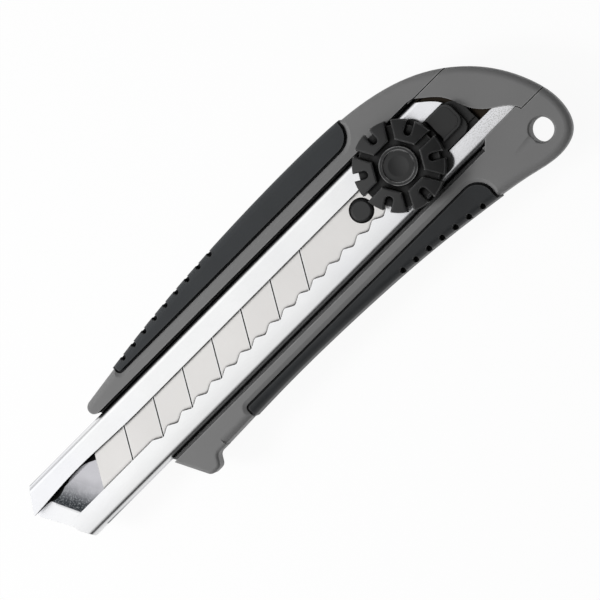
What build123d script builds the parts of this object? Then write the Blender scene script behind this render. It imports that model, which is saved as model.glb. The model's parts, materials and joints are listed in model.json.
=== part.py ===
from build123d import *
import os
from math import atan2, cos, pi, radians, sin, tan

# Heavy-duty utility knife for 18 mm snap-off blades, locked by a wheel, lying on its back.
# Millimetres. +X runs from the nose to the tail, +Y to the upper rail and +Z out of the face.
# The origin is on the flat back, under the middle line of the blade channel.

# ---------------------------------------------------------------- driving sizes
# Blade
blade_width = 18.0
blade_length = 100.0
blade_thickness = 0.5
segment_pitch = 10.0
score_count = 7
score_angle = 60.0  # from the blade's length; the front edge has the same angle
score_width = 0.3
score_depth = 0.12
bevel_width = 2.4
edge_land = 0.06  # thickness left along the cutting edge
tip_setback = 13.6  # from the nose to the tip of the drawn-in blade
peg_from_tail = 5.2
peg_hole_radius = 3.1

# Blade channel: a folded stainless C-section
nose_x = -80.9
sheet = 0.8
side_clearance = 0.1  # from the blade to each wall
channel_height = 5.0
fold_radius = 1.6  # outside
inner_fold_radius = 0.3
end_wall = 1.0  # height of the walls left under the end cap
slot_upper_y = 3.9
slot_lower_y = -3.5
rear_slot_upper_y = 4.4
rear_slot_lower_y = -4.8
flare = 0.6  # the upper lip's edge bows back by this behind the nose
flare_from_nose = 14.0
flare_length = 22.0
nose_apex_y = 3.6
nose_apex_round = 2.0
nose_slant = 7.5  # how far the nose falls back from its apex to the lower corner
nose_corner = 4.4  # and to the upper corner
lower_lip_round = 2.0  # of its front corner
lip_end_round = 1.8  # of the upper lip's rear corner
tooth_pitch = 5.0
tooth_depth = 1.35
tooth_round = 0.9
first_tooth_from_nose = 36.2
nose_rise = 2.3  # height of the raised floor in the nose
ramp_start = 6.2  # from the nose to the ramp's foot, on the middle line
ramp_length = 7.4
ramp_angle = 34.5  # at its foot; it flattens towards its top
ramp_slant = 26.0  # of its foot in plan
ramp_half_width = 3.8
ramp_shoulder = 2.2  # its upper front corner is cut off over twice this
raised_length = 16.0
channel_end_gap = 1.5  # from the upper lip to the end cap; the lower lip runs under its hood

# Handle
handle_front_from_nose = 27.65
guard_front_from_nose = 33.8
back_to_channel = 8.0
rail_rise = 0.8  # the rails stand above the lips by this
rail_front_width = 4.1
# The rails' widths outside the channel, each at a share of the handle's length
upper_swell = ((0.175, 6.85), (0.40, 9.0), (0.60, 9.35), (0.76, 7.6), (0.853, 3.5))
lower_swell = ((0.868, 12.4), (0.778, 10.3), (0.642, 8.1), (0.461, 6.6), (0.281, 6.2), (0.13, 6.7))
# The tail's outline, each point from the tail's end and below the channel
tail_swell = ((8.8, -15.2), (4.1, -8.7), (1.3, -2.5), (0.0, 4.7), (2.8, 12.1), (8.6, 13.9))
rail_front_round = 2.0
rail_inner_round = 1.5
upper_groove_gap = 0.5  # from the channel to the rail
lower_groove_gap = 1.05
groove_depth = 2.6
pocket_fit = 0.08
back_round = 4.6
face_round = 1.8
guard_depth = 9.6  # below the channel
guard_lean = 4.4  # how far its tip is behind its root
guard_tip_length = 3.0
guard_back_lean = 1.6
guard_root = 12.0
lower_rail_width = 6.9
guard_round = 0.9
guard_tip_round = 1.6
guard_start_z = 6.2
tail_rise = 6.2
tail_rise_length = 38.0
front_rise = 2.4
front_rise_length = 11.0
lanyard_radius = 3.0
lanyard_from_tail = 7.7
lanyard_below_channel = 6.9
lanyard_chamfer = 0.4
lanyard_wall_z = 5.4  # the hole widens below this, so that a cord does not chafe
scoop_reach = 6.4  # a shallow scoop leads into the hole from ahead
scoop_radius = 2.7
scoop_lift = 2.25  # of its axis above the face
ledge_reach = 1.3  # of the ledge over the channel's lower edge near the tail
ledge_front = 5.0  # ahead of the cap's edge
upper_mouth_end = 10.3  # of the gap along the upper rail, ahead of the cap's edge
mouth_ramp = 2.4

# Rubber grips
grip_proud = 0.35
grip_start_z = 1.4
grip_corner = 1.2
grip_ledge = 1.0  # width of the slope down to each grip
grip_ledge_depth = 0.45
grip_groove = 0.6  # width of the groove around each grip
grip_groove_depth = 0.9
upper_grip_front = 11.45  # behind the handle's front
upper_grip_length = 80.6
upper_grip_inset = 3.2  # from the channel's side to the grip
upper_grip_curl = 5.0  # its rear end curves up by this
lower_grip_front = 27.6
lower_grip_length = 79.1
lower_grip_inset = 3.7
lower_grip_curl = 4.5
lower_grip_drop = 5.5
notch_radius = 0.75
notch_height = 3.5
notch_pitch = 4.05
upper_notch_count = 9
upper_notch_start = 3.6  # behind the grip's front end
lower_notch_count = 7
lower_notch_end = 4.5  # ahead of the grip's rear end

# Slider
running = 0.08  # clearance between sliding faces
clear = 0.2  # clearance where parts only pass each other
carrier_ahead_of_peg = 9.0
wheel_behind_blade = 9.4
carrier_rear = 10.5  # its full width ends this far behind the wheel's axis
carrier_tail_from_wheel = 20.6
carrier_tail_round = 4.6
housing_thickness = 1.6
housing_front_radius = 9.3
shoulder_rear = 10.3  # behind the wheel's axis
shoulder_upper_y = 7.9
shoulder_lower_y = -8.4
shoulder_round = 3.2
block_front = 11.3
block_rear = 18.4
block_height = 2.2
block_upper_y = 4.2
block_lower_y = -2.7
block_round = 2.4
block_chamfer = 0.6
key_front = 8.8  # ahead of the wheel's axis
key_rear = 15.6
screw_radius = 0.9
screw_head_radius = 1.6
screw_head_height = 0.9
front_screw = 7.0  # ahead of the wheel's axis
rear_screw = 13.5  # behind it
peg_radius = 2.7
peg_stem_radius = 1.4
peg_chamfer = 0.5
peg_below_lips = 0.3  # below the channel's top
peg_floor = 0.6
spring_thickness = 0.3
spring_reach = 4.6  # each side of its nose
spring_bend = 1.5
spring_nose_gap = 0.3  # from the nose to the bottom of its tooth
spring_play = 0.15

# Lock: wheel, bolt and clamp plate
wheel_radius = 11.15
wheel_above_middle = 0.65  # of the channel
disc_radius = 9.9
disc_height = 3.0
pad_count = 6
pad_height = 3.1  # at the axis, where the dome is highest
pad_foot = 0.8  # the pads start this far above the wheel's underside
pad_inner = 5.8
pad_edge = 0.4
pad_dome_radius = 42.0  # the pads' tops fall away from the axis
valley_width = 1.6
pad_notch_width = 1.8
pad_notch_reach = 3.7
hub_radius = 4.7
hub_height = 1.9
cap_radius = 3.8
cap_thickness = 0.9
cap_sink = 0.35
cap_dish_radius = 16.0
cap_dish_depth = 0.2
bolt_radius = 2.0
bolt_head_radius = 3.4
bolt_head_height = 2.0
bolt_clearance = 0.15
thread_clearance = 0.05
washer_thickness = 0.4
washer_radius = 4.4
plate_thickness = 1.0
plate_length = 10.0
plate_clearance = 0.15
plate_drop = 0.55  # room to loosen
collar_radius = 3.0
collar_height = 0.4
clip_thickness = 0.4
clip_radius = 3.1
grip_gap = 0.02  # plate to lips when the lock is tight

# End cap and channel screws
cap_behind_wheel = 21.5  # where the cap's edge crosses the middle line
# The cap's front edge, each point from there and above the middle line, this as a share of half the channel
cap_edge = (
    (-9.6, 1.1), (-7.2, 0.90), (-2.9, 0.48), (-0.6, -0.05), (2.9, -0.46), (5.9, -0.67), (8.7, -1.1)
)
tail_behind_cap = 15.9
cap_fit = 0.1
hood_overlap = 1.6
hood_gap = 0.3  # from the end of the channel to the cap, under its hood
tongue_width = 10.0
tongue_thickness = 1.4
tongue_length = 17.0  # ahead of the cap's edge
channel_screw_length = 5.5
channel_screw_play = 0.3
channel_screws_ahead = 10.0  # of the middle of the handled length
channel_screw_head = 1.9
channel_screw_spacing = 60.0

# ---------------------------------------------------------------- sizes that follow
channel_half = blade_width / 2 + side_clearance + sheet
inner_half = channel_half - sheet
channel_z = back_to_channel
floor_z = channel_z + sheet
channel_top_z = channel_z + channel_height
lip_under_z = channel_top_z - sheet
face_z = channel_top_z + rail_rise
above = face_z + 5  # clear of the handle's face
beyond = 30.0  # cutting shapes run past the knife by this
margin = 1.0  # and past a single face by this

tip_x = nose_x + tip_setback
blade_tail_x = tip_x + blade_length
peg_x = blade_tail_x - peg_from_tail
wheel_x = blade_tail_x + wheel_behind_blade
wheel_y = wheel_above_middle
carrier_tail_x = wheel_x + carrier_tail_from_wheel
cap_x = wheel_x + cap_behind_wheel
tail_x = cap_x + tail_behind_cap
handle_front_x = nose_x + handle_front_from_nose
guard_front_x = nose_x + guard_front_from_nose
first_tooth_x = nose_x + first_tooth_from_nose
tooth_count = int((wheel_x + tooth_pitch - first_tooth_x) / tooth_pitch) + 1
last_tooth_x = first_tooth_x + (tooth_count - 1) * tooth_pitch
teeth_end_x = last_tooth_x + tooth_pitch / 2

blade_top_z = lip_under_z - running
blade_z = blade_top_z - blade_thickness
carrier_z = floor_z + running
carrier_half = inner_half - side_clearance
housing_z = channel_top_z + running
housing_top_z = housing_z + housing_thickness
wheel_z = housing_top_z + washer_thickness + running
valley_z = wheel_z + disc_height
pad_top_z = valley_z + pad_height
hub_top_z = valley_z + hub_height
bolt_head_top_z = hub_top_z - cap_sink - cap_thickness
plate_top_z = lip_under_z - grip_gap
plate_z = plate_top_z - plate_thickness
collar_z = plate_z - collar_height
clip_top_z = collar_z - plate_drop - running
bolt_end_z = clip_top_z - 1.6 * clip_thickness
clip_room_z = bolt_end_z - running
key_upper_y = slot_upper_y - clear
key_lower_y = slot_lower_y + clear

upper_grip_x = handle_front_x + upper_grip_front
lower_grip_x = handle_front_x + lower_grip_front
lanyard_x = tail_x - lanyard_from_tail
lanyard_y = -channel_half - lanyard_below_channel


# ---------------------------------------------------------------- helpers
def prism(sketch, low, high):
    """A plan raised from one height to another."""
    return Pos(0, 0, low) * extrude(sketch, high - low)


def slab(x0, x1, y0, y1, z0, z1):
    """A box between two corners."""
    return Pos((x0 + x1) / 2, (y0 + y1) / 2, (z0 + z1) / 2) * Box(x1 - x0, y1 - y0, z1 - z0)


def rod(x, y, low, high, radius):
    """A round post along Z."""
    return Pos(x, y, (low + high) / 2) * Cylinder(radius, high - low)


def closed(*edges):
    """A face inside a closed run of edges."""
    return make_face(Curve() + list(edges))


def polygon(*points):
    """A face with straight sides."""
    return make_face(Polyline(*points, close=True))


def rounded(plan, x, y, radius):
    """The plan with its corner nearest to a point rounded."""
    return fillet(plan.vertices().sort_by_distance((x, y))[0], radius)


# ---------------------------------------------------------------- handle
def outline(grow=0.0):
    """The handle in plan, with its front left long: it is cut to shape afterwards."""
    length = tail_x - handle_front_x
    start = handle_front_x - 3 * rail_front_round
    upper = channel_half + grow
    lower = -channel_half - grow
    run = Spline(
        (start, upper + rail_front_width - margin),
        (handle_front_x + rail_front_round, upper + rail_front_width),
        *[(handle_front_x + share * length, upper + width) for share, width in upper_swell],
        *[(tail_x + grow - back, lower - drop) for back, drop in tail_swell],
        *[(handle_front_x + share * length, lower - width) for share, width in lower_swell],
        (start, lower - lower_rail_width),
        tangents=[(1, 0.1), (-1, 0)],
    )
    return closed(run, Line(run @ 1, run @ 0))


def side_profile():
    """The handle from the side: a flat back that rises at the tail and at the front."""
    x0, x1 = handle_front_x - 3 * rail_front_round - margin, tail_x + margin
    flat_end = tail_x - tail_rise_length
    flat_start = handle_front_x + front_rise_length
    top = above + margin
    rise_at_end = tail_rise * ((x1 - flat_end) / tail_rise_length) ** 2
    rise_at_front = front_rise * ((flat_start - x0) / front_rise_length) ** 2
    return Plane.XZ * closed(
        Line((flat_start, 0), (flat_end, 0)),
        TangentArc((flat_end, 0), (x1, rise_at_end), tangent=(1, 0)),
        Line((x1, rise_at_end), (x1, top)),
        Line((x1, top), (x0, top)),
        Line((x0, top), (x0, rise_at_front)),
        TangentArc((flat_start, 0), (x0, rise_at_front), tangent=(-1, 0)),
    )


def blank(grow=0.0):
    """The handle's outer form, rounded along its face and back, with its front left long."""
    body = prism(outline(grow), -margin, face_z + grow)
    rims = body.edges().filter_by(GeomType.BSPLINE)
    body = fillet(rims.filter_by(lambda rim: rim.center().Z > channel_z), face_round)
    body = (body & extrude(side_profile(), 2 * beyond, both=True)).solid()
    rims = body.edges().filter_by(GeomType.BSPLINE)
    return fillet(rims.filter_by(lambda rim: rim.bounding_box().max.Z < channel_z), back_round)


def cap_region(setback):
    """Everything behind the end cap's front edge in plan, moved rearwards by a setback."""
    edge = Spline(*[(cap_x + along, across * channel_half) for along, across in cap_edge])
    top, low, far = edge @ 0, edge @ 1, tail_x + beyond
    region = closed(
        edge, Line(low, (far, low.Y)), Line((far, low.Y), (far, top.Y)), Line((far, top.Y), top)
    )
    return Pos(setback, 0, 0) * region


def handle_front():
    """What is cut off ahead of the handle, in plan."""
    far = handle_front_x - beyond
    side = 2 * beyond
    upper = channel_half + rail_front_width
    corner, inner = rail_front_round, rail_inner_round
    rail_y = channel_half + upper_groove_gap
    low_y = -channel_half - pocket_fit
    foot_x = guard_front_x + guard_lean
    return closed(
        Line((far, -side), (foot_x, -side)),
        Line((foot_x, -side), (foot_x, low_y - lower_rail_width)),
        Line((foot_x, low_y - lower_rail_width), (guard_front_x, low_y)),
        Line((guard_front_x, low_y), (handle_front_x + inner, rail_y)),
        TangentArc((handle_front_x + inner, rail_y), (handle_front_x, rail_y + inner), tangent=(-1, 0)),
        Line((handle_front_x, rail_y + inner), (handle_front_x, upper - corner)),
        TangentArc((handle_front_x, upper - corner), (handle_front_x + corner, upper), tangent=(0, 1)),
        Line((handle_front_x + corner, upper), (handle_front_x + corner, side)),
        Line((handle_front_x + corner, side), (far, side)),
        Line((far, side), (far, -side)),
    )


def guard():
    """The finger guard: a fin below the front of the lower rail."""
    x, y = guard_front_x, -channel_half
    low = y - guard_depth
    tip_front = x + guard_lean
    tip_back = tip_front + guard_tip_length
    heel = tip_back + guard_back_lean
    plan = polygon(
        (x + guard_root, y - margin),
        (x, y - margin),
        (tip_front, low),
        (tip_back, low),
        (heel, y - lower_rail_width),
        (x + guard_root, y - lower_rail_width),
    )
    for corner in ((tip_front, low), (tip_back, low), (heel, y - lower_rail_width)):
        plan = rounded(plan, *corner, guard_tip_round)
    fin = prism(plan, guard_start_z, face_z)
    rims = fin.edges().filter_by(lambda rim: rim.bounding_box().size.Z < 0.01)
    rims = rims.filter_by(lambda rim: rim.center().Y < y - 1.5 * margin)
    rims = rims.filter_by(lambda rim: rim.center().X < heel + guard_back_lean)
    return fillet(rims, guard_round)


def pocket():
    """The room for the channel and the end cap: snug below, with a groove along each rail."""
    front, rear = handle_front_x - beyond, tail_x + beyond
    half = channel_half + pocket_fit
    low = -channel_half - lower_groove_gap
    high = channel_half + upper_groove_gap
    lower_end = cap_x - ledge_front
    upper_end = cap_x - upper_mouth_end
    room = slab(front, rear, -half, half, channel_z, channel_top_z + pocket_fit)
    mouth = polygon(
        (front, low),
        (lower_end, low),
        (lower_end + mouth_ramp, -channel_half + ledge_reach),
        (rear, -channel_half + ledge_reach),
        (rear, half),
        (upper_end + mouth_ramp, half),
        (upper_end, high),
        (front, high),
    )
    room += prism(mouth, channel_top_z, above)
    room += prism(cap_region(-2 * cap_fit), channel_top_z, above) & slab(front, rear, -half, half, 0, above)
    groove_z = face_z - groove_depth
    room += slab(front, upper_end, 0, high, groove_z, above)
    room += slab(front, lower_end, low, 0, groove_z, above)
    return room


def upper_bed(grow=0.0):
    """The upper grip's bed in plan: straight along the channel, curved up at its rear end."""
    inner = channel_half + upper_grip_inset - grow
    out = channel_half + beyond
    curl = upper_grip_curl + grow
    x0, x1 = upper_grip_x - grow, upper_grip_x + upper_grip_length + grow
    plan = closed(
        Line((x0, out), (x0, inner)),
        Line((x0, inner), (x1 - curl, inner)),
        TangentArc((x1 - curl, inner), (x1, inner + curl), tangent=(1, 0)),
        Line((x1, inner + curl), (x1, out)),
        Line((x1, out), (x0, out)),
    )
    return rounded(plan, x0, inner, grip_corner + grow)


def lower_bed(grow=0.0):
    """The lower grip's bed in plan, with a rear end that sweeps down."""
    inner = -channel_half - lower_grip_inset + grow
    out = -channel_half - beyond
    curl, drop = lower_grip_curl + grow, lower_grip_drop + grow
    x0, x1 = lower_grip_x - grow, lower_grip_x + lower_grip_length + grow
    plan = closed(
        Line((x0, out), (x0, inner)),
        Line((x0, inner), (x1 - curl, inner)),
        TangentArc((x1 - curl, inner), (x1, inner - drop), tangent=(1, 0)),
        Line((x1, inner - drop), (x1, out)),
        Line((x1, out), (x0, out)),
    )
    return rounded(plan, x0, inner, grip_corner + grow)


def scallops(first_x, count, side):
    """Round notches along a grip's face edge, each set on the outline."""
    plan = outline(grip_proud)
    cuts = []
    for i in range(count):
        x = first_x + i * notch_pitch
        chord = Line((x, 0), (x, side * 2 * beyond)) & plan
        y = side * max(abs(point.Y) for point in chord.vertices())
        cuts.append(rod(x, y - side * face_round / 3, face_z - notch_height, above, notch_radius))
    return cuts


def tongue(fit, top):
    """The end cap's tongue, which hooks under the channel, or with a fit its slot in the handle."""
    half = tongue_width / 2 + fit
    front = cap_x - tongue_length - fit
    low = channel_z - running - tongue_thickness
    return slab(front, tail_x + beyond, -half, half, low - fit, top)


def channel_screw_places():
    """The channel's two screws, spread about the middle of its handled length."""
    middle = (handle_front_x + cap_x) / 2 - channel_screws_ahead
    return [middle - channel_screw_spacing / 2, middle + channel_screw_spacing / 2]


def make_handle_body(whole):
    body = whole - prism(handle_front(), -margin, above)
    body += guard()
    body -= pocket()
    for bed in (upper_bed, lower_bed):
        body -= prism(bed(), grip_start_z, above)
        foot = Pos(0, 0, face_z - grip_ledge_depth) * bed()
        top = Pos(0, 0, face_z + grip_ledge_depth) * bed(2 * grip_ledge)
        body -= loft([foot, top], ruled=True)
    body -= tongue(cap_fit, channel_z + margin)
    body -= rod(lanyard_x, lanyard_y, -margin, above, lanyard_radius)
    rim = Cone(lanyard_radius, lanyard_radius + 2 * lanyard_chamfer, 2 * lanyard_chamfer)
    body -= Pos(lanyard_x, lanyard_y, face_z) * rim
    flare_out = Cone(lanyard_radius + lanyard_wall_z, lanyard_radius, lanyard_wall_z)
    body -= Pos(lanyard_x, lanyard_y, lanyard_wall_z / 2) * flare_out
    reach = lanyard_radius + scoop_reach
    scoop = Rot(0, 90, 0) * Cone(scoop_lift, scoop_radius, reach)
    body -= Pos(lanyard_x - reach / 2, lanyard_y, face_z + scoop_lift) * scoop
    for x in channel_screw_places():
        body -= rod(x, 0, channel_z - channel_screw_length, channel_z + margin, screw_radius)
    return body


def make_upper_grip(whole):
    grip = whole & prism(upper_bed(), grip_start_z, above)
    grip &= prism(upper_bed(), 0, face_z - grip_groove_depth) + prism(upper_bed(-grip_groove), 0, above)
    return grip - scallops(upper_grip_x + upper_notch_start, upper_notch_count, 1)


def make_lower_grip(whole):
    grip = whole & prism(lower_bed(), grip_start_z, above)
    grip &= prism(lower_bed(), 0, face_z - grip_groove_depth) + prism(lower_bed(-grip_groove), 0, above)
    last = lower_grip_x + lower_grip_length - lower_notch_end
    return grip - scallops(last - (lower_notch_count - 1) * notch_pitch, lower_notch_count, -1)


# ---------------------------------------------------------------- blade channel
def nose_plan():
    """The channel in plan, with its pointed nose."""
    half = channel_half
    plan = polygon(
        (nose_x, nose_apex_y),
        (nose_x + nose_slant, -half),
        (tail_x, -half),
        (tail_x, half),
        (nose_x + nose_corner, half),
    )
    return rounded(plan, nose_x, nose_apex_y, nose_apex_round)


def slot_plan():
    """The slot between the lips in plan, with the ratchet teeth along its lower edge."""
    far = nose_x - beyond
    end = tail_x + beyond
    behind_nose = nose_x + flare_from_nose
    step = tooth_pitch / 2
    waves = []
    for i in range(tooth_count):
        x = first_tooth_x + i * tooth_pitch
        waves += [(x, slot_lower_y - tooth_depth), (x + step, slot_lower_y)]
    corner = Vector(nose_x + nose_slant, -channel_half)
    apex = Vector(nose_x, nose_apex_y)
    lip = corner + (apex - corner) * ((slot_lower_y + channel_half) / (nose_apex_y + channel_half))
    slant = atan2(lip.Y - corner.Y, corner.X - lip.X)
    bend = lower_lip_round / tan(slant / 2)
    lip_start = lip + (corner - lip).normalized() * bend
    lip_end = lip + Vector(bend, 0)
    teeth = FilletPolyline(
        (lip_end.X, slot_lower_y),
        (first_tooth_x - step, slot_lower_y),
        *waves,
        (last_tooth_x + 2 * step, rear_slot_lower_y),
        (end, rear_slot_lower_y),
        radius=tooth_round,
    )
    upper = Spline(
        (far, slot_upper_y - clear),
        (nose_x, slot_upper_y - clear),
        (behind_nose, slot_upper_y + flare),
        (behind_nose + flare_length, slot_upper_y),
        tangents=[(1, 0), (1, 0)],
    )
    step_x = wheel_x + disc_radius - 2 * margin
    outside = corner - (lip - corner).normalized() * 2 * margin
    return closed(
        teeth,
        Line((end, rear_slot_lower_y), (end, rear_slot_upper_y)),
        Line((end, rear_slot_upper_y), (step_x + margin, rear_slot_upper_y)),
        Line((step_x + margin, rear_slot_upper_y), (step_x, slot_upper_y)),
        Line((step_x, slot_upper_y), upper @ 1),
        upper,
        Line(upper @ 0, (far, outside.Y)),
        Line((far, outside.Y), outside),
        Line(outside, lip_start),
        TangentArc(lip_start, lip_end, tangent=lip - corner),
    )


def raised_floor(inset):
    """The raised part of the nose's floor: a ramp that flattens towards its top, under the blade.

    With an inset it is the dent on its underside.
    """
    top = ramp_length + raised_length
    steep = (cos(radians(ramp_angle)), sin(radians(ramp_angle)))
    side = Plane.XZ * closed(
        TangentArc((0, 0), (ramp_length, nose_rise), tangent=steep),
        Line((ramp_length, nose_rise), (top, nose_rise)),
        Line((top, nose_rise), (top, -sheet / 2)),
        Line((top, -sheet / 2), (0, -sheet / 2)),
        Line((0, -sheet / 2), (0, 0)),
    )
    lump = Rot(0, 0, ramp_slant) * extrude(side, beyond, both=True)
    half = ramp_half_width - inset
    rear = raised_length - inset
    front = -ramp_shoulder
    plan = polygon((rear, -half), (rear, half), (-front, half), (front, half / 2), (front, -half))
    lump &= prism(plan, -margin, beyond)
    return Pos(nose_x + ramp_start, 0, floor_z - inset) * lump


def make_blade_channel():
    outer = Plane.YZ * (Pos(0, (channel_z + channel_top_z) / 2) * RectangleRounded(
        2 * channel_half, channel_height, fold_radius
    ))
    inner = Plane.YZ * (Pos(0, (channel_z + channel_top_z) / 2) * RectangleRounded(
        2 * inner_half, channel_height - 2 * sheet, inner_fold_radius
    ))
    length = tail_x - nose_x
    body = Pos(nose_x, 0, 0) * extrude(outer - inner, length)
    body &= prism(nose_plan(), 0, above)
    body += raised_floor(0)
    body -= raised_floor(sheet)
    body -= prism(slot_plan(), floor_z + nose_rise + clear, above)
    body -= prism(cap_region(hood_overlap - hood_gap), 0, above)
    end = prism(cap_region(-channel_end_gap), floor_z + end_wall, above)
    body -= end & slab(nose_x, tail_x + beyond, 0, beyond, 0, above)
    upright = body.edges().filter_by(Axis.Z)
    corners = upright.filter_by(lambda edge: abs(edge.center().Y - rear_slot_upper_y) < clear)
    body = fillet(corners.sort_by(Axis.X)[-1], lip_end_round)
    for x in channel_screw_places():
        head = Cone(screw_radius, channel_screw_head, sheet)
        body -= Pos(x, 0, channel_z + sheet / 2) * head
    return body


def make_channel_screws():
    screws = []
    for x in channel_screw_places():
        shank = rod(x, 0, channel_z - channel_screw_length + channel_screw_play, channel_z, screw_radius)
        head = Pos(x, 0, channel_z + sheet / 2) * Cone(screw_radius, channel_screw_head, sheet)
        screws.append(shank + head)
    return Compound(screws)


# ---------------------------------------------------------------- slider
def score_shift(y):
    """How far a line at the blade's score angle leans by a height."""
    return y / tan(radians(score_angle))


def make_blade():
    half = blade_width / 2
    lean = score_shift(half)
    plan = polygon(
        (tip_x, -half),
        (blade_tail_x, -half),
        (blade_tail_x, half),
        (tip_x + 2 * lean, half),
    )
    body = prism(plan, blade_z, blade_top_z)
    body -= rod(peg_x, 0, 0, above, peg_hole_radius)
    depth = (blade_thickness - edge_land) / 2
    for sign, z in ((1, blade_top_z), (-1, blade_z)):
        bevel = Plane.YZ * polygon(
            (-half - margin, z + sign),
            (-half - margin, z - sign * depth),
            (-half, z - sign * depth),
            (-half + bevel_width, z),
            (-half + bevel_width, z + sign),
        )
        body -= Pos(tip_x - margin, 0, 0) * extrude(bevel, blade_length + 2 * margin)
    for i in range(1, score_count + 1):
        x = tip_x + lean + i * segment_pitch
        groove = Box(blade_width * 2, score_width, 2 * score_depth)
        body -= Pos(x, 0, blade_top_z) * Rot(0, 0, score_angle) * groove
    return body


def make_blade_peg():
    head = rod(peg_x, 0, blade_z, channel_top_z - peg_below_lips, peg_radius)
    head = chamfer(head.edges().group_by(Axis.Z)[-1], peg_chamfer)
    return head + rod(peg_x, 0, carrier_z + peg_floor, blade_z, peg_stem_radius)


def make_slider_carrier():
    front = peg_x - carrier_ahead_of_peg
    step = blade_tail_x + clear
    rear = wheel_x + carrier_rear
    body = slab(front, step, -carrier_half, carrier_half, carrier_z, blade_z)
    body += slab(step, rear, -carrier_half, carrier_half, carrier_z, blade_top_z)
    tail = polygon(
        (rear, rear_slot_lower_y),
        (carrier_tail_x, rear_slot_lower_y),
        (carrier_tail_x, rear_slot_upper_y),
        (rear, rear_slot_upper_y),
    )
    tail = rounded(tail, carrier_tail_x, rear_slot_upper_y, carrier_tail_round)
    body += prism(tail, carrier_z, blade_top_z)
    body += prism(tail, carrier_z, channel_top_z - running) & slab(
        wheel_x + key_rear, carrier_tail_x, key_lower_y, key_upper_y, carrier_z, above
    )
    room = plate_length / 2 + plate_clearance
    floor = plate_z - plate_drop - running
    body -= slab(wheel_x - room, wheel_x + room, -beyond, beyond, floor, above)
    body -= rod(wheel_x, wheel_y, clip_room_z, above, clip_radius + bolt_clearance)
    body -= rod(peg_x, 0, carrier_z + peg_floor, above, peg_stem_radius)
    for x in (wheel_x - front_screw, wheel_x + rear_screw):
        body -= rod(x, wheel_y, 0, above, screw_radius)
        body -= rod(x, wheel_y, 0, carrier_z + screw_head_height, screw_head_radius)
    return body


def housing_plan():
    """The housing above the lips, in plan: round under the wheel, with shoulders behind it."""
    shoulders = polygon(
        (wheel_x, shoulder_lower_y),
        (wheel_x + shoulder_rear, shoulder_lower_y),
        (wheel_x + shoulder_rear, shoulder_upper_y),
        (wheel_x, shoulder_upper_y),
    )
    shoulders = rounded(shoulders, wheel_x + shoulder_rear, shoulder_lower_y, shoulder_round)
    shoulders = rounded(shoulders, wheel_x + shoulder_rear, shoulder_upper_y, shoulder_round)
    flange = polygon(
        (wheel_x, rear_slot_lower_y + clear),
        (wheel_x + block_rear, rear_slot_lower_y + clear),
        (wheel_x + block_rear, block_upper_y),
        (wheel_x, block_upper_y),
    )
    flange = rounded(flange, wheel_x + block_rear, rear_slot_lower_y, block_round)
    flange = rounded(flange, wheel_x + block_rear, block_upper_y, block_round)
    return shoulders + flange + Pos(wheel_x, wheel_y) * Circle(housing_front_radius)


def spring_nose():
    """The ratchet spring's place: its nose is in the last tooth of the lower lip."""
    return last_tooth_x, key_lower_y + spring_thickness


def make_slider_housing():
    body = prism(housing_plan(), housing_z, housing_top_z)
    block = polygon(
        (wheel_x + block_front, block_lower_y),
        (wheel_x + block_rear, block_lower_y),
        (wheel_x + block_rear, block_upper_y),
        (wheel_x + block_front, block_upper_y),
    )
    block = rounded(block, wheel_x + block_rear, block_lower_y, block_round)
    block = rounded(block, wheel_x + block_rear, block_upper_y, block_round)
    lump = prism(block, housing_top_z, housing_top_z + block_height)
    lump = chamfer(lump.edges().group_by(Axis.Z)[-1], block_chamfer)
    body += lump
    body += slab(wheel_x - key_front, wheel_x + key_rear, key_lower_y, key_upper_y, blade_top_z, housing_z)
    room = plate_length / 2 + plate_clearance
    body -= slab(wheel_x - room, wheel_x + room, -beyond, beyond, 0, plate_top_z + clear)
    x, y = spring_nose()
    back = y + spring_thickness / 2
    body -= slab(x - spring_reach, x + spring_reach, -beyond, back, 0, housing_z)
    body -= rod(wheel_x, wheel_y, 0, above, bolt_radius + bolt_clearance)
    for x in (wheel_x - front_screw, wheel_x + rear_screw):
        body -= rod(x, wheel_y, 0, housing_top_z - housing_thickness / 3, screw_radius)
    return body


def make_slider_screws():
    screws = []
    for x in (wheel_x - front_screw, wheel_x + rear_screw):
        head = rod(x, wheel_y, carrier_z + running, carrier_z + screw_head_height, screw_head_radius)
        end = housing_top_z - housing_thickness / 2
        shank = rod(x, wheel_y, carrier_z + screw_head_height, end, screw_radius)
        screws.append(head + shank)
    return Compound(screws)


def make_ratchet_spring():
    x, y = spring_nose()
    t = spring_thickness / 2
    low = slot_lower_y - tooth_depth + spring_nose_gap + t
    half = [
        (x + spring_thickness, low - t),
        (x + spring_bend, y - t),
        (x + spring_reach, y - t),
        (x + spring_reach, y + t),
        (x + spring_bend - t, y + t),
    ]
    other = [(2 * x - a, b) for a, b in reversed(half)]
    plan = polygon(*half, (x, low + t), *other)
    return prism(plan, lip_under_z + spring_play, housing_z - spring_play)


def make_lock_washer():
    ring = rod(wheel_x, wheel_y, housing_top_z, housing_top_z + washer_thickness, washer_radius)
    return ring - rod(wheel_x, wheel_y, 0, above, bolt_radius + bolt_clearance)


# ---------------------------------------------------------------- lock wheel and clamp
def pad_plan():
    """One pad in plan, on the X axis: a wedge between two valleys, cut off square inside."""
    spread = pi / pad_count
    apex = valley_width / 2 / sin(spread)
    far = wheel_radius + margin
    rise = (far - apex) * tan(spread)
    wedge = polygon((apex, 0), (far, -rise), (far, rise))
    wedge &= Circle(wheel_radius)
    wedge -= polygon((-far, -far), (pad_inner, -far), (pad_inner, far), (-far, far))
    half = pad_notch_width / 2
    end = wheel_radius - pad_notch_reach + half
    notch = Pos(end, 0) * Circle(half) + polygon((end, -half), (far, -half), (far, half), (end, half))
    return wedge - notch


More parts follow.
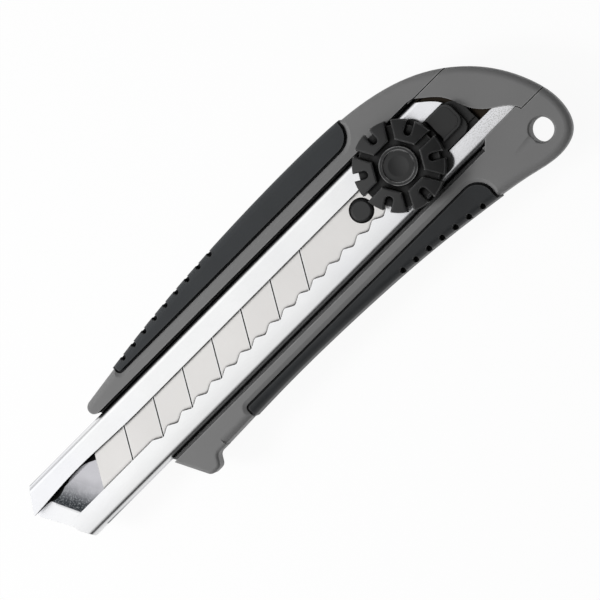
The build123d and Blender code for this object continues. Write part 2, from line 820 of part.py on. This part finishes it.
def make_lock_wheel():
    pad = prism(pad_plan(), wheel_z + pad_foot, above + beyond)
    pad = (pad & Pos(0, 0, pad_top_z - pad_dome_radius) * Sphere(pad_dome_radius)).solid()
    pad = fillet(pad.faces().sort_by(Axis.Z)[-1].edges(), pad_edge)
    body = rod(0, 0, wheel_z, valley_z, disc_radius)
    for i in range(pad_count):
        body += Rot(0, 0, (i + 0.5) * 360 / pad_count) * pad
    body += rod(0, 0, valley_z, hub_top_z, hub_radius)
    body -= rod(0, 0, bolt_head_top_z, above + beyond, cap_radius)
    head = RegularPolygon(bolt_head_radius, 6)
    body -= prism(head, bolt_head_top_z - bolt_head_height, bolt_head_top_z)
    body -= rod(0, 0, 0, above, bolt_radius)
    return Pos(wheel_x, wheel_y, 0) * body


def make_wheel_cap():
    cap = rod(0, 0, bolt_head_top_z, hub_top_z - cap_sink, cap_radius)
    dish = Pos(0, 0, hub_top_z - cap_sink - cap_dish_depth + cap_dish_radius) * Sphere(cap_dish_radius)
    return Pos(wheel_x, wheel_y, 0) * (cap - dish)


def make_lock_bolt():
    head = prism(RegularPolygon(bolt_head_radius, 6), bolt_head_top_z - bolt_head_height, bolt_head_top_z)
    shank = rod(0, 0, bolt_end_z, bolt_head_top_z - bolt_head_height, bolt_radius)
    return Pos(wheel_x, wheel_y, 0) * (head + shank)


def make_bolt_clip():
    ring = rod(wheel_x, wheel_y, clip_top_z - clip_thickness, clip_top_z, clip_radius)
    ring -= rod(wheel_x, wheel_y, 0, above, bolt_radius)
    return ring


def make_clamp_plate():
    half = inner_half - fold_radius / 2
    body = slab(wheel_x - plate_length / 2, wheel_x + plate_length / 2, -half, half, plate_z, plate_top_z)
    body += rod(wheel_x, wheel_y, collar_z, plate_z, collar_radius)
    return body - rod(wheel_x, wheel_y, 0, above, bolt_radius + thread_clearance)


# ---------------------------------------------------------------- end cap
def make_end_cap(whole):
    half = channel_half - cap_fit
    lane = slab(cap_x - beyond, tail_x + beyond, -half, half, channel_z + running, above)
    shape = prism(cap_region(hood_overlap), channel_z + running, above)
    shape += prism(cap_region(0.0), channel_top_z + cap_fit, above)
    hook = tongue(0.0, channel_z - running)
    hook += tongue(0.0, channel_z + margin) & prism(cap_region(hood_overlap), 0, above)
    return (whole & shape & lane) + (whole & hook)


def main():
    os.makedirs("parts", exist_ok=True)
    handle = blank()
    grown = blank(grip_proud)
    nodes = {
        "handle_body": make_handle_body(handle),
        "upper_grip": make_upper_grip(grown),
        "lower_grip": make_lower_grip(grown),
        "blade_channel": make_blade_channel(),
        "channel_screws": make_channel_screws(),
        "slider_carrier": make_slider_carrier(),
        "slider_housing": make_slider_housing(),
        "slider_screws": make_slider_screws(),
        "blade": make_blade(),
        "blade_peg": make_blade_peg(),
        "ratchet_spring": make_ratchet_spring(),
        "lock_washer": make_lock_washer(),
        "lock_wheel": make_lock_wheel(),
        "wheel_cap": make_wheel_cap(),
        "lock_bolt": make_lock_bolt(),
        "bolt_clip": make_bolt_clip(),
        "clamp_plate": make_clamp_plate(),
        "end_cap": make_end_cap(handle),
    }
    for name, shape in nodes.items():
        export_step(shape, f"parts/{name}.step")
        print(name, len(shape.solids()), round(shape.volume, 1), all(s.is_valid for s in shape.solids()))


main()
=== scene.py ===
"""Looks of a snap-off utility knife: its finishes, the studio and the camera."""

import json
import math

import bpy
from mathutils import Matrix, Vector


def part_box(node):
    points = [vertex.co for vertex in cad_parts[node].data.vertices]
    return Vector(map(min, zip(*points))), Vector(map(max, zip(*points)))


MM = 0.001

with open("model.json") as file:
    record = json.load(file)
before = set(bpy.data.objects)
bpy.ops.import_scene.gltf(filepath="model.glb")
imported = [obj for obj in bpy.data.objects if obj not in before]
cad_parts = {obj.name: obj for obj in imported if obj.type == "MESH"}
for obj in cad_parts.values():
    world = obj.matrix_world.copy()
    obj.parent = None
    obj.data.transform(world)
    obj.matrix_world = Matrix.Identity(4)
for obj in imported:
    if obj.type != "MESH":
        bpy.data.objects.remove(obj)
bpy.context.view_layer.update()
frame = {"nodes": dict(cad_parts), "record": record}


# ---------------------------------------------------------------- shader maths
class Wire:
    """A socket in a finish. Arithmetic on it adds Math nodes."""

    def __init__(self, finish, socket):
        self.finish = finish
        self.socket = socket

    def maths(self, operation, *values):
        return self.finish.node("ShaderNodeMath", {"operation": operation}, dict(enumerate(values)))

    def __add__(self, other):
        return self.maths("ADD", self, other)

    def __radd__(self, other):
        return self.maths("ADD", other, self)

    def __sub__(self, other):
        return self.maths("SUBTRACT", self, other)

    def __rsub__(self, other):
        return self.maths("SUBTRACT", other, self)

    def __mul__(self, other):
        return self.maths("MULTIPLY", self, other)

    def __rmul__(self, other):
        return self.maths("MULTIPLY", other, self)

    def most(self, other):
        """The larger of the two."""
        return self.maths("MAXIMUM", self, other)

    def size(self):
        """The value without its sign."""
        return self.maths("ABSOLUTE", self)

    def wrap(self, low, high):
        """The value repeated from low to high, over and over."""
        return self.maths("WRAP", self, high, low)

    def between(self, low, high, first=0.0, last=1.0):
        """Goes smoothly from first to last as this goes from low to high."""
        return self.finish.node(
            "ShaderNodeMapRange",
            {"interpolation_type": "SMOOTHSTEP"},
            {"Value": self, "From Min": low, "From Max": high, "To Min": first, "To Max": last},
        )


class Finish:
    """A procedural material, built node by node."""

    def __init__(self, name, tree=None):
        if tree is None:
            self.material = bpy.data.materials.new(name)
            self.material.use_nodes = True
            tree = self.material.node_tree
        self.tree = tree
        tree.nodes.clear()

    def node(self, kind, settings=None, values=None, output=0):
        """Adds a node: its settings first, then the values or links of its sockets."""
        node = self.tree.nodes.new(kind)
        for key, value in (settings or {}).items():
            setattr(node, key, value)
        for key, value in (values or {}).items():
            if isinstance(value, Wire):
                self.tree.links.new(value.socket, node.inputs[key])
            else:
                node.inputs[key].default_value = value
        return Wire(self, node.outputs[output]) if node.outputs else None

    def place(self):
        """Where a point is on the object, in metres."""
        return self.node("ShaderNodeTexCoord", output="Object")

    def parts(self, vector):
        """The three numbers of a vector."""
        split = self.node("ShaderNodeSeparateXYZ", values={0: vector}).socket.node
        return [Wire(self, output) for output in split.outputs]

    def facing(self):
        """How far the surface faces up: 1 on a flat top, 0 on an upright wall."""
        return self.parts(self.node("ShaderNodeNewGeometry", output="Normal"))[2]

    def grain(self, per_metre, stretch=(1, 1, 1), detail=3.0):
        """Noise from 0 to 1 with this many cells to the metre, stretched along its axes."""
        where = self.node("ShaderNodeMapping", values={"Vector": self.place(), "Scale": stretch})
        values = {"Vector": where, "Scale": per_metre, "Detail": detail}
        return self.node("ShaderNodeTexNoise", values=values)

    def blend(self, share, first, second):
        """A colour between two, by a share from 0 to 1."""
        return self.node(
            "ShaderNodeMix", {"data_type": "RGBA", "clamp_factor": True}, {0: share, 6: first, 7: second}, 2
        )

    def softened(self, radius):
        """The surface's normal with its edges rounded by a radius."""
        return self.node("ShaderNodeBevel", {"samples": 6}, {"Radius": radius})

    def crevice(self, reach):
        """1 deep in a gap or a corner and 0 in the open."""
        return 1 - self.node("ShaderNodeAmbientOcclusion", {"samples": 6}, {"Distance": reach}, "AO")

    def rim(self, reach):
        """1 along outer edges and 0 on the flats."""
        settings = {"samples": 6, "inside": True, "only_local": True}
        inside = self.node("ShaderNodeAmbientOcclusion", settings, {"Distance": reach}, "AO")
        return (1 - inside).between(0.12, 0.45)

    def relief(self, height, depth, normal=None):
        """A normal that follows a height from 0 to 1, this deep, over another normal if one is given."""
        values = {"Height": height, "Distance": depth}
        if normal is not None:
            values["Normal"] = normal
        return self.node("ShaderNodeBump", values=values)

    def finish(self, **sockets):
        """Ends the material with a Principled shader."""
        values = {}
        for key, value in sockets.items():
            values[key.replace("_", " ").title().replace("Ior", "IOR")] = value
        shader = self.node("ShaderNodeBsdfPrincipled", values=values)
        self.node("ShaderNodeOutputMaterial", values={"Surface": shader})
        return self.material


def grey(level, warm=0.0):
    """A near-neutral colour, a little warmer or cooler."""
    return (level * (1 + warm), level, level * (1 - warm), 1.0)


# ---------------------------------------------------------------- finishes
def moulded_grey():
    """Mid-grey moulded plastic: a fine spark texture, with painted shade in its gaps and a painted highlight
    along its edges.
    """
    f = Finish("moulded_grey_plastic")
    mottle = f.grain(90, detail=4.0)
    texture = f.grain(5200, detail=2.0)
    # painted shade: deep gaps are coloured black, and made metallic so that they lose their sheen
    gap = f.crevice(2.2 * MM).between(0.30, 0.80)
    # painted highlight: a paler band along the outer edges
    edge_highlight = f.rim(0.45 * MM) * (0.35 + 0.65 * f.grain(500).between(0.35, 0.65))
    body = f.blend(mottle, grey(0.174), grey(0.196))
    highlighted = f.blend(edge_highlight * 0.45, body, grey(0.40))
    return f.finish(
        base_color=f.blend(gap, highlighted, grey(0.012)),
        metallic=gap,
        roughness=0.46 + 0.10 * mottle - 0.06 * edge_highlight,
        specular_ior_level=0.35,
        normal=f.relief(texture, 0.012 * MM, f.softened(0.25 * MM)),
    )


def grip_rubber():
    """Black rubber with fine pores and a faint bloom, with painted shade in its gaps, a painted highlight
    along its edges and painted shade making the lower grip blacker.
    """
    f = Finish("grip_rubber")
    bloom = f.grain(120, detail=4.0)
    pores = f.grain(3800, detail=3.0)
    # painted shade: deep gaps are coloured black, and made metallic so that they lose their sheen
    gap = f.crevice(1.2 * MM).between(0.30, 0.70)
    # painted highlight: a paler band along the edges
    edge_highlight = f.rim(0.4 * MM)
    grip_side = 16 * MM  # about how far each grip lies from the middle line
    # painted shade: the lower grip is coloured blacker and the upper one paler
    upper = f.parts(f.place())[1].between(-grip_side, grip_side)
    body = f.blend(0.5 * bloom + 0.5 * upper, grey(0.011, -0.08), grey(0.042, -0.08))
    highlighted = f.blend(edge_highlight * 0.5, body, grey(0.075))
    return f.finish(
        base_color=f.blend(gap, highlighted, grey(0.002)),
        metallic=gap,
        roughness=0.46 + 0.14 * bloom,
        specular_ior_level=0.40,
        normal=f.relief(pores, 0.02 * MM, f.softened(0.22 * MM)),
    )


def channel_steel():
    """Folded stainless sheet with a fine satin grain, with painted shade on its walls, in its gaps and on
    the nose ramp.
    """
    f = Finish("satin_channel_steel")
    low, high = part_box("blade_channel")
    sheet = 0.8 * MM
    fade = 0.2 * MM  # over which one finish gives way to the next
    x, y, z = f.parts(f.place())
    lines = f.grain(1.0, stretch=(900, 4200, 4200), detail=4.0)
    smear = f.grain(70, detail=3.0)
    cloud = f.grain(28, detail=2.0)
    satin = f.blend(cloud.between(0.4, 0.65), grey(0.92, -0.004), (0.89, 0.895, 0.92, 1.0))
    satin = f.blend(lines * 0.10, satin, grey(0.70))
    # painted shade: the lower lip is a little greyer towards its outer side; behind the wheel it is speckled
    # greyer
    lower_shade = (0 - y).between(3.5 * MM, 11.0 * MM)
    satin = f.blend(lower_shade * 0.24, satin, grey(0.20, 0.01))
    rear_speckle = x.between(44 * MM, 64 * MM) * (0 - y).between(0.0, 1.0 * MM)
    rear_speckle = rear_speckle * (0.10 + 0.45 * f.grain(3600, detail=1.0).between(0.45, 0.70))
    satin = f.blend(rear_speckle, satin, grey(0.35, 0.02))
    # painted reflection on the ramp in the nose: coloured dark at its foot and paler up its slope
    ramp_foot = low.x + 6.2 * MM
    slant = math.radians(26)
    along = (x - ramp_foot) * math.cos(slant) + y * math.sin(slant)
    scuff = f.grain(3600, detail=2.0)
    climb = (along + 2.4 * MM * (f.grain(420) - 0.5)).between(1.2 * MM, 9.8 * MM)
    ramp = f.blend(climb, grey(0.050, -0.12), (0.56, 0.555, 0.585, 1.0))
    ramp = f.blend(scuff.between(0.50, 0.68) * (0.55 - 0.45 * climb), ramp, grey(0.50, -0.04))
    below_lips = (high.z - sheet - z).between(0.0, fade)
    on_ramp = along.between(0.05 * MM, 0.25 * MM) * below_lips
    # painted shadow: the channel floor behind the wheel is coloured dark brown
    rear_shadow = x.between(45 * MM, 52 * MM) * below_lips
    colour = f.blend(on_ramp, satin, ramp)
    colour = f.blend(rear_shadow, colour, grey(0.02, 0.25))
    # painted shade: the black slit beside the ramp, under the upper lip, is coloured in; its edge sinks,
    # swells and sinks again
    bank = 3.95 * MM
    for start, end, rise in ((-77.3, -74.0, -0.85), (-73.5, -67.5, 1.45), (-65.0, -59.0, -1.9)):
        bank = bank + rise * MM * x.between(start * MM, end * MM)
    beside = (y - bank).between(-0.08 * MM, 0.08 * MM)
    inside_wall = (high.y - 1.1 * MM - y).between(0.0, fade)
    in_nose = x.between(-57.5 * MM, -58.0 * MM) * below_lips * inside_wall
    # painted shade: deep gaps, and the outer folds where they run into gaps, are coloured black
    gap = f.crevice(2.0 * MM)
    outer_fold = y.size().between(high.y - 0.7 * MM, high.y - 0.2 * MM)
    dark = gap.between(0.50, 0.80).most(outer_fold * gap.between(0.15, 0.40)) * (1 - in_nose)
    colour = f.blend(dark.most(in_nose * beside), colour, grey(0.008))
    # painted shade: the upright walls of the slot are coloured dark grey
    wall_shade = f.facing().size().between(0.75, 0.35) * (high.y - sheet - y.size()).between(0.3 * MM, 0.6 * MM)
    colour = f.blend(wall_shade, colour, grey(0.06))
    return f.finish(
        base_color=colour,
        metallic=1.0,
        roughness=0.17 + 0.10 * smear + 0.05 * lines,
        normal=f.relief(lines, 0.0012 * MM, f.softened(0.12 * MM)),
    )


def satin_steel(name, level, rough, brush):
    """Steel with fine brush marks, whose cells to the metre are given along each axis."""
    f = Finish(name)
    lines = f.grain(1.0, stretch=brush, detail=4.0)
    smear = f.grain(70, detail=3.0)
    return f.finish(
        base_color=f.blend(lines * 0.2, grey(level, -0.012), grey(level * 0.8, -0.012)),
        metallic=1.0,
        roughness=rough - 0.05 + 0.10 * smear + 0.05 * lines,
        normal=f.relief(lines, 0.003 * MM, f.softened(0.15 * MM)),
    )


def ground_blade():
    """Blade steel ground across its width, with painted shadow along the lips' edges, painted shade in the
    bottoms of its score lines and a painted highlight beside them.
    """
    f = Finish("ground_blade_steel")
    low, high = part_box("blade")
    bevel = low.y + 2.45 * MM
    half_segment = 5 * MM
    scored_length = 75 * MM  # to half a segment behind the last score line
    score_angle = math.radians(60)
    x, y, z = f.parts(f.place())
    lines = f.grain(1.0, stretch=(3600, 160, 160), detail=4.0)
    smear = f.grain(60, detail=3.0)
    steel = f.blend(lines * 0.4 + smear * 0.3, grey(0.89, 0.018), grey(0.79, 0.022))
    # painted shadow: dark along the lips' edges, with a narrower, blacker line beside the teeth
    lip_shadow = f.crevice(1.1 * MM).between(0.16, 0.62)
    steel = f.blend(lip_shadow, steel, grey(0.03))
    steel = f.blend(f.crevice(0.7 * MM).between(0.20, 0.38), steel, grey(0.01))
    # painted shade: the bottoms of the score lines are coloured near black
    depth = high.z - z
    score_shade = depth.between(0.04 * MM, 0.08 * MM) * depth.between(0.24 * MM, 0.20 * MM)
    score_shade = score_shade * (y - bevel).between(0.0, 0.05 * MM)
    # painted highlight: a bright line along each side of every score line
    run = x - (y - low.y) * (1 / math.tan(score_angle)) - low.x
    aside = run.wrap(-half_segment, half_segment).size() * math.sin(score_angle)
    score_highlight = aside.between(0.16 * MM, 0.20 * MM) * aside.between(0.45 * MM, 0.28 * MM)
    edge = 0.1 * MM
    score_highlight = score_highlight * run.between(half_segment - edge, half_segment + edge)
    score_highlight = score_highlight * run.between(scored_length + edge, scored_length - edge)
    steel = f.blend(score_highlight * 0.75, steel, grey(0.95))
    return f.finish(
        base_color=f.blend(score_shade, steel, grey(0.015)),
        metallic=0.85,
        roughness=0.32 + 0.10 * smear,
        normal=f.relief(lines, 0.0015 * MM),
    )


def black_plastic(name, level, rough, rim_level, rim_reach=0.35, open_gap=0.35):
    """Satin black moulding with a fine texture, with painted shade black in its corners and a painted
    highlight paler along its edges.

    The rim's reach is in millimetres. The painted shade turns a gap black once its depth, from 0 to 1,
    passes open_gap.
    """
    f = Finish(name)
    texture = f.grain(4200, detail=2.0)
    mottle = f.grain(150, detail=3.0)
    # painted shade: deep gaps are coloured black, and made metallic so that they lose their sheen
    gap = f.crevice(1.5 * MM).between(open_gap, open_gap + 0.40)
    # painted highlight: a paler band along the edges
    edge_highlight = f.rim(rim_reach * MM) * f.grain(420).between(0.3, 0.6)
    body = f.blend(mottle, grey(level, -0.03), grey(level * 1.5, -0.03))
    highlighted = f.blend(edge_highlight * 0.7, body, grey(rim_level))
    return f.finish(
        base_color=f.blend(gap, highlighted, grey(0.001)),
        metallic=gap,
        roughness=rough + 0.10 * mottle,
        specular_ior_level=0.60,
        normal=f.relief(texture, 0.010 * MM, f.softened(0.25 * MM)),
    )


finishes = {
    "grey_plastic": moulded_grey(),
    "grip_rubber": grip_rubber(),
    "channel_steel": channel_steel(),
    "blade_steel": ground_blade(),
    "black_plastic": black_plastic("black_slider_plastic", level=0.003, rough=0.36, rim_level=0.05),
    "wheel_plastic": black_plastic(
        "lock_wheel_plastic", level=0.006, rough=0.40, rim_level=0.36, rim_reach=0.40, open_gap=0.20
    ),
    "peg_black": black_plastic("black_peg", level=0.014, rough=0.38, rim_level=0.06),
    "spring_steel": satin_steel("spring_steel", level=0.62, rough=0.30, brush=(4200, 60, 60)),
    "fastener_steel": satin_steel("zinc_plated_steel", level=0.66, rough=0.34, brush=(900, 900, 900)),
}
for part in frame["record"]["subparts"]:
    node = frame["nodes"][part["node"]]
    node.data.materials.clear()
    node.data.materials.append(finishes[part["material_slot"]])


# ---------------------------------------------------------------- studio
# Toward the overhead softbox, which hangs a little to the upper side of the nose
OVERHEAD = Vector((-0.72, 0.34, 1.0)).normalized()


def add_floor():
    """White paper just under the knife, which the camera and reflections see almost evenly lit."""
    bpy.ops.object.select_all(action="DESELECT")
    bpy.ops.mesh.primitive_plane_add(size=6.0, location=(0, 0, -0.05 * MM))
    floor = bpy.context.object
    floor.name = "studio_floor"
    f = Finish("white_floor")
    seen = f.node("ShaderNodeLightPath", output="Is Camera Ray")
    mirrored = f.node("ShaderNodeLightPath", output="Is Glossy Ray")
    paper = f.node("ShaderNodeBsdfDiffuse", values={"Color": grey(0.85)})
    glow = f.node("ShaderNodeEmission", values={"Color": grey(1.0), "Strength": 1.0})
    share = seen.most(mirrored) * 0.94
    mixed = f.node("ShaderNodeMixShader", values={0: share, 1: paper, 2: glow})
    f.node("ShaderNodeOutputMaterial", values={"Surface": mixed})
    floor.data.materials.append(f.material)


def add_world():
    """The camera sees white. An overhead glow lights the knife, and reflections also find a pale horizon."""
    world = bpy.data.worlds.new("studio")
    bpy.context.scene.world = world
    world.use_nodes = True
    f = Finish("studio", world.node_tree)
    direction = f.node("ShaderNodeTexCoord", output="Generated")  # on a world, the way a ray goes
    x, y, z = f.parts(direction)
    toward = x * OVERHEAD.x + y * OVERHEAD.y + z * OVERHEAD.z
    sky = f.blend(toward.between(0.62, 1.0), grey(0.05), grey(1.42))
    mirrored = f.node("ShaderNodeLightPath", output="Is Glossy Ray")
    sky = f.blend(mirrored * z.between(0.56, 0.36), sky, grey(0.85))
    seen = f.node("ShaderNodeLightPath", output="Is Camera Ray")
    colour = f.blend(seen, sky, grey(1.0))
    shader = f.node("ShaderNodeBackground", values={"Color": colour, "Strength": 1.0})
    f.node("ShaderNodeOutputWorld", values={"Surface": shader})


def add_lamp(name, place, size, watts):
    """A softbox that points at the knife and shows in no reflection."""
    lamp = bpy.data.lights.new(name, "AREA")
    lamp.shape = "RECTANGLE"
    lamp.size, lamp.size_y = size
    lamp.energy = watts
    holder = bpy.data.objects.new(name, lamp)
    bpy.context.scene.collection.objects.link(holder)
    holder.location = place
    holder.rotation_euler = (-Vector(place)).to_track_quat("-Z", "Y").to_euler()
    holder.visible_glossy = False


def add_camera():
    """A long lens that looks down at the face from a little beyond the lower side of the tail."""
    centre = Vector((2.07, -4.79, 13.5)) * MM
    turn = math.radians(-44.98)
    distance = 1.5
    width = 142.9 * MM
    right = Vector((math.cos(turn), math.sin(turn), 0))
    up = Vector((-math.sin(turn), math.cos(turn), 0))
    lean_right, lean_up = 0.152, 0.046
    back = (right * lean_right + up * lean_up + Vector((0, 0, 1))).normalized()
    across = up.cross(back).normalized()
    above = back.cross(across)
    data = bpy.data.cameras.new("camera")
    data.sensor_width = 36.0
    data.lens = data.sensor_width * distance / width
    data.clip_start, data.clip_end = 0.05, 20.0
    camera = bpy.data.objects.new("camera", data)
    bpy.context.scene.collection.objects.link(camera)
    axes = Matrix((across, above, back)).transposed().to_4x4()
    camera.matrix_world = Matrix.Translation(centre + back * distance) @ axes
    bpy.context.scene.camera = camera


add_floor()
add_world()
add_lamp("key_softbox", (-0.33, 0.15, 0.36), (0.14, 0.14), 1.72)
add_lamp("side_softbox", (0.9, -0.6, 0.8), (0.3, 0.8), 1.0)
add_camera()
bpy.context.scene.view_settings.view_transform = "Standard"
